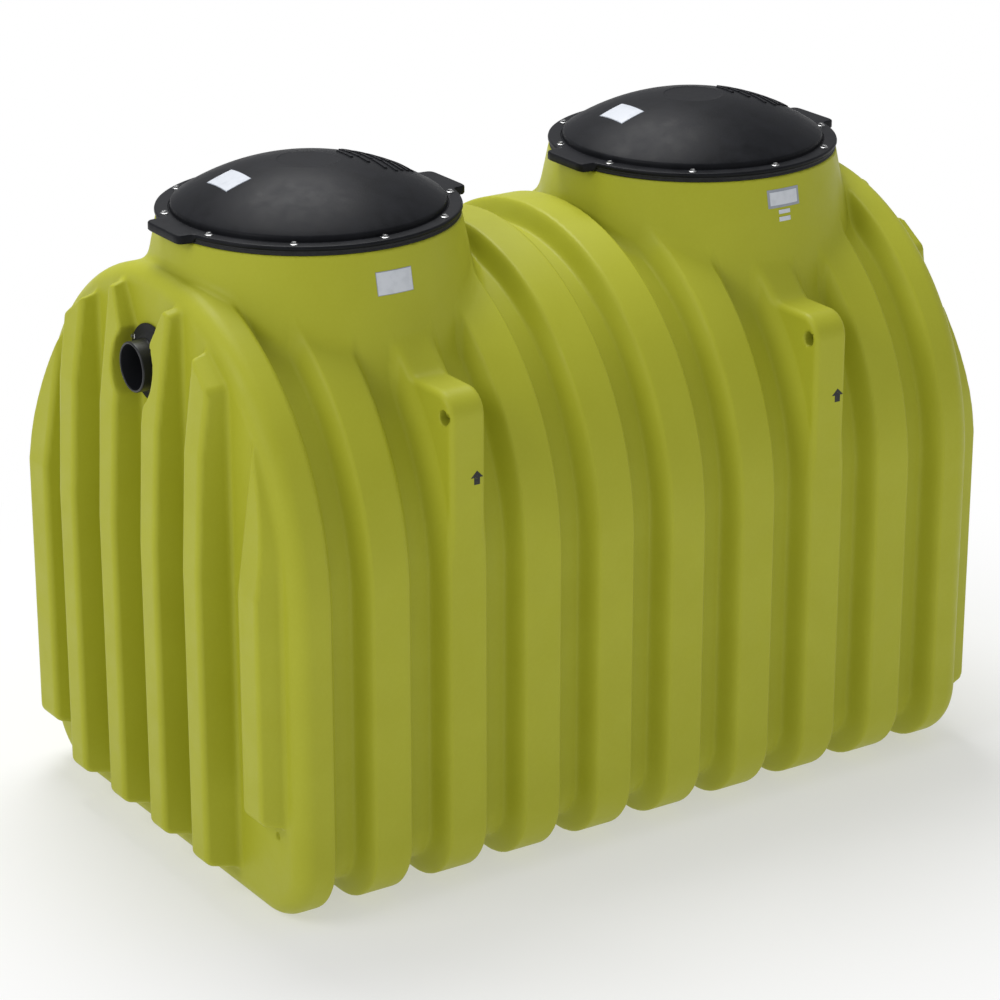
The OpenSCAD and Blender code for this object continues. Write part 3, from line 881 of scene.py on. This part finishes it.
class TANK_OT_pipes(TankOperator, bpy.types.Operator):
    """Turns the pipe stubs and their flared rubber seals"""
    bl_idname = "tank.pipes"
    bl_label = "Pipes and seals"

    def execute(self, context):
        for name, side in ENDS.items():
            pipe, seal = f"{name}_pipe", f"{name}_seal"
            lo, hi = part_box(pipe)
            z = middle(pipe).z
            wall = side * high("inlet_end_wall").x
            out = abs(hi.x - wall) if side > 0 else abs(lo.x - wall)
            deep = abs(lo.x - wall) if side > 0 else abs(hi.x - wall)
            place = Matrix.Translation((wall, 0, z)) @ Matrix.Rotation(side * math.pi / 2, 4, "Y")
            r, bore = 0.05715, 0.05115  # nominal four inch pipe
            line = [(bore, -deep), (r + 0.0015, -deep), (r + 0.0015, 0.016), (r, 0.018),
                    (r, out - 0.0028), (r - 0.0014, out - 0.0006), (r - 0.003, out),
                    (bore + 0.0016, out), (bore, out - 0.0014), (bore, -deep)]
            points, faces = lathe(rounded(line, 0.0009, 3), evenly(128), place)
            new_piece(f"{name}_pipe_stub", points, faces, "abs", "pipe_plastic", [pipe],
                      crease=40)
            flange = (high(seal).y - low(seal).y) / 2
            line = [(r + 0.0016, 0.0002), (flange - 0.0015, 0.0002), (flange, 0.0020),
                    (flange, 0.0062), (flange - 0.0022, 0.0080), (r + 0.0170, 0.0080),
                    (r + 0.0105, 0.0100), (r + 0.0050, 0.0152), (r + 0.0030, 0.0160),
                    (r + 0.0017, 0.0160), (r + 0.0016, 0.0002)]
            points, faces = lathe(rounded(line, 0.0016, 4), evenly(128), place)
            new_piece(f"{name}_flared_seal", points, faces, "rubber", "seal_rubber", [seal],
                      crease=45)
        return {"FINISHED"}


class TANK_OT_marks(TankOperator, bpy.types.Operator):
    """Lays the blank plates on the lids and collars and the lifting arrows on the lugs"""
    bl_idname = "tank.marks"
    bl_label = "Blank plates and arrows"

    def execute(self, context):
        shell = context.scene.tank_shell
        lid = context.scene.tank_lid
        for name in ENDS:
            self.lid_plate(name, lid)
            self.lid_rows(name, lid)
            for place, side in SIDES.items():
                self.arrow(name, place, side)
        # Name, collar, turn in degrees, height in the tank, width and height, width of the border.
        for plate in (("outlet_notice", "outlet", -89.2, 1.3700, 0.088, 0.048, 0.003),
                      ("inlet_notice", "inlet", -89.0, 1.3910, 0.078, 0.030, 0.012),
                      ("inlet_tag_upper", "inlet", -89.3, 1.3600, 0.032, 0.009, 0.0),
                      ("inlet_tag_lower", "inlet", -89.4, 1.3435, 0.032, 0.010, 0.0)):
            self.collar_plate(shell, *plate)
        return {"FINISHED"}

    @staticmethod
    def dome_skin(name, s):
        """A function that gives the point above a lid's dome at x and y from the lid's middle."""
        lo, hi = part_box(f"{name}_lid")
        centre = (lo + hi) / 2
        height = dome_height(s, lo.z + s.flange_t, hi.z)

        def skin(x, y, lift):
            return Vector((centre.x + x, centre.y + y, height(math.hypot(x, y)) + lift))

        return skin

    def lid_plate(self, name, s):
        """A blank plate that follows the dome, a little askew, with a thin grey border."""
        turn = Matrix.Rotation(math.radians(-4), 2)
        skin = self.dome_skin(name, s)

        def at(u, v, grow, lift):
            p = turn @ Vector((u * (s.plate_w + grow), v * (s.plate_h + grow)))
            return skin(p.x - 0.1815, p.y + 0.034, lift)

        self.sheet(f"{name}_lid_border", lambda u, v, w: at(u, v, 0.003, 0.0006 * w), "grey_vinyl")
        self.sheet(f"{name}_lid_plate", lambda u, v, w: at(u, v, 0, 0.0002 + 0.0009 * w), "vinyl")

    def lid_rows(self, name, s):
        """Seven raised plain bars across the dome, each broken as a line of moulded words is."""
        skin = self.dome_skin(name, s)

        def bar(x, start, stop):
            """One stretch of a bar, at x, from start to stop along Y, its foot sunk a little."""
            return self.shell(lambda u, v, w: skin(
                x + (0.0095 - 0.003 * w) * u, start + (stop - start) * (v + 0.5),
                (s.bar_rise + 0.0004) * w - 0.0004), 2, 10)

        bars = [bar(x, reach * start, reach * stop)
                for x, reach in ((0.095, 0.030), (0.120, 0.062), (0.145, 0.093), (0.170, 0.098),
                                 (0.193, 0.084), (0.214, 0.074), (0.233, 0.062))
                for start, stop in ((-1.0, -0.42), (-0.34, 0.18), (0.26, 1.0))]
        new_piece(f"{name}_lid_rows", *joined(bars), "polypropylene", crease=30)

    def collar_plate(self, s, title, name, degrees, height, wide, tall, edge):
        """A blank plate that follows a collar, with a grey border as wide as edge."""
        centre = middle(f"{name}_lid")
        top = high(f"collar_{name}").z

        def at(u, v, grow, lift):
            z = height + v * (tall + grow)
            r = s.collar_r + (top - z) * math.tan(s.collar_slope) + lift
            a = math.radians(degrees) + u * (wide + grow) / r
            return Vector((centre.x + r * math.cos(a), centre.y + r * math.sin(a), z))

        if edge:
            self.sheet(f"{title}_border", lambda u, v, w: at(u, v, edge, 0.0007 * w), "grey_vinyl")
        self.sheet(f"{title}_plate", lambda u, v, w: at(u, v, 0.0, 0.0002 + 0.0010 * w), "vinyl")

    @staticmethod
    def shell(at, across=12, along=12):
        """Points and faces of a thin closed block.

        at gives the point at u and v, from -0.5 to 0.5, of the underside (w 0) or top (w 1)."""
        rows = across + 1
        points = [at(i / across - 0.5, j / along - 0.5, w)
                  for w in (1, 0) for j in range(along + 1) for i in range(rows)]
        under = rows * (along + 1)
        faces = []
        for j in range(along):
            for i in range(across):
                k = j * rows + i
                faces.append((k, k + 1, k + rows + 1, k + rows))
                faces.append((under + k, under + k + rows, under + k + rows + 1, under + k + 1))
        rim = ([i for i in range(rows)] + [j * rows + across for j in range(1, along + 1)]
               + [along * rows + i for i in range(across - 1, -1, -1)]
               + [j * rows for j in range(along - 1, 0, -1)])
        for a, b in zip(rim, rim[1:] + rim[:1]):
            faces.append((a, under + a, under + b, b))
        return points, faces

    def sheet(self, name, at, kind):
        """One thin plate as a piece."""
        new_piece(name, *self.shell(at), kind, crease=40)

    @staticmethod
    def arrow(name, place, side):
        """A broad printed arrow that points up, on the outer face of a lug."""
        centre = middle(f"lug_{place}_{name}").x + 0.021
        height = 0.983
        face = side * high("side_wall_far").y
        outline = [(-0.0075, -0.0150), (0.0075, -0.0150), (0.0075, 0.001), (0.0160, 0.001),
                   (0.0, 0.0170), (-0.0160, 0.001), (-0.0075, 0.001)]
        points = [(centre + x, face + side * lift, height + z)
                  for lift in (0.0003, -0.001) for x, z in outline]
        n = len(outline)
        front = [(0, 1, 2, 6), (5, 6, 2, 3, 4)]
        faces = front + [tuple(n + i for i in reversed(f)) for f in front]
        faces += [(i, n + i, n + (i + 1) % n, (i + 1) % n) for i in range(n)]
        new_piece(f"{name}_{place}_arrow", points, faces, "ink", crease=30)


class TANK_OT_stage(TankOperator, bpy.types.Operator):
    """Sets the pale floor, the soft lamps and the camera"""
    bl_idname = "tank.stage"
    bl_label = "Studio"

    def execute(self, context):
        scene = context.scene
        scene.view_settings.view_transform = "Standard"
        self.floor(scene)
        self.world(scene)
        self.lamp(scene, "key", (-6.5, -0.5, 5.0), 4.0, 142.0)
        self.lamp(scene, "fill", (1.5, -8.0, 2.5), 5.0, 14.0)
        self.lamp(scene, "top", (0.5, 2.5, 6.5), 4.0, 310.0)
        camera = bpy.data.cameras.new("camera")
        camera.lens = 127.94
        camera.sensor_width = 36.0
        camera.clip_end = 100
        eye = bpy.data.objects.new("camera", camera)
        scene.collection.objects.link(eye)
        eye.location = (-4.35735, -6.60003, 3.65142)
        turn, tilt = math.radians(33.320), math.radians(20.820)
        ahead = Vector((math.sin(turn) * math.cos(tilt), math.cos(turn) * math.cos(tilt),
                        -math.sin(tilt)))
        eye.rotation_mode = "QUATERNION"
        eye.rotation_quaternion = ahead.to_track_quat("-Z", "Y")
        scene.camera = eye
        return {"FINISHED"}

    @staticmethod
    def floor(scene):
        """A wide floor that keeps the tank's shadow and fades into plain white away from it."""
        mesh = bpy.data.meshes.new("floor")
        d = 60.0
        mesh.from_pydata([(-d, -d, 0), (d, -d, 0), (d, d, 0), (-d, d, 0)], [], [(0, 1, 2, 3)])
        # Painted studio floor: matt and pale, with a faint 6 mm roller texture; the fade leaves it
        # no far edge.
        made, tree, shader, where = finish_of(
            "painted_floor", linear("#F7F7F6")[:3], Roughness=0.9)
        roller = add_node(tree, "TexNoise", {
            "Vector": where, "Scale": per_metre(6), "Detail": 2.0})
        add_node(tree, "Bump", {"Height": roller, "Distance": 0.0003, "Strength": 0.1},
                 into=shader["Normal"])
        away = add_node(tree, "VectorMath", {0: where}, "Value", operation="LENGTH")
        share = add_node(tree, "MapRange", {
            "Value": away, "From Min": 1.1, "From Max": 2.2, "To Min": 0.45},
                         interpolation_type="SMOOTHSTEP")
        plain = add_node(tree, "Emission", {"Color": (1, 1, 1, 1), "Strength": 1.0})
        paint = tree.nodes["Principled BSDF"].outputs["BSDF"]
        add_node(tree, "MixShader", {0: share, 1: paint, 2: plain},
                 into=tree.nodes["Material Output"].inputs["Surface"])
        mesh.materials.append(made)
        floor = bpy.data.objects.new("floor", mesh)
        scene.collection.objects.link(floor)
        floor.location.z = -0.001

    @staticmethod
    def world(scene):
        """A soft even light from all sides, in front of a plain white background."""
        world = scene.world or bpy.data.worlds.new("studio")
        scene.world = world
        world.use_nodes = True
        tree = world.node_tree
        tree.nodes.clear()
        seen = add_node(tree, "LightPath", out="Is Camera Ray")
        soft = add_node(tree, "Background", {"Color": linear("#F6F7FA"), "Strength": 0.42})
        white = add_node(tree, "Background", {"Color": (1, 1, 1, 1), "Strength": 1.0})
        both = add_node(tree, "MixShader", {0: seen, 1: soft, 2: white})
        add_node(tree, "OutputWorld", {"Surface": both})

    @staticmethod
    def lamp(scene, name, place, size, power):
        """A round soft lamp aimed at the middle of the tank."""
        data = bpy.data.lights.new(name, "AREA")
        data.shape = "DISK"
        data.size = size
        data.energy = power
        lamp = bpy.data.objects.new(name, data)
        scene.collection.objects.link(lamp)
        lamp.location = place
        lamp.rotation_mode = "QUATERNION"
        aim = Vector((0, 0, 0.7)) - Vector(place)
        lamp.rotation_quaternion = aim.to_track_quat("-Z", "Y")


class TANK_PT_panel(bpy.types.Panel):
    """Lists the steps and the sizes of the tank"""
    bl_label = "Septic tank"
    bl_idname = "TANK_PT_panel"
    bl_space_type = "VIEW_3D"
    bl_region_type = "UI"
    bl_category = "Tank"

    def draw(self, context):
        for operator in OPERATORS:
            self.layout.operator(operator.bl_idname)
        for group in GROUPS:
            box = self.layout.box()
            holder = getattr(context.scene, group)
            for name in holder.__annotations__:
                box.prop(holder, name)


GROUPS = {"tank_shell": TankShellSizes, "tank_lid": TankLidSizes, "tank_colours": TankColours}
OPERATORS = (TANK_OT_body, TANK_OT_lids, TANK_OT_gaskets, TANK_OT_screws, TANK_OT_pipes,
             TANK_OT_marks, TANK_OT_stage)


def register():
    for cls in (*GROUPS.values(), *OPERATORS, TANK_PT_panel):
        bpy.utils.register_class(cls)
    for name, cls in GROUPS.items():
        setattr(bpy.types.Scene, name, bpy.props.PointerProperty(type=cls))


def unregister():
    for name in GROUPS:
        delattr(bpy.types.Scene, name)
    for cls in reversed((*GROUPS.values(), *OPERATORS, TANK_PT_panel)):
        bpy.utils.unregister_class(cls)


def main():
    register()
    for operator in OPERATORS:
        group, name = operator.bl_idname.split(".")
        getattr(getattr(bpy.ops, group), name)()


if __name__ == "__main__":
    main()
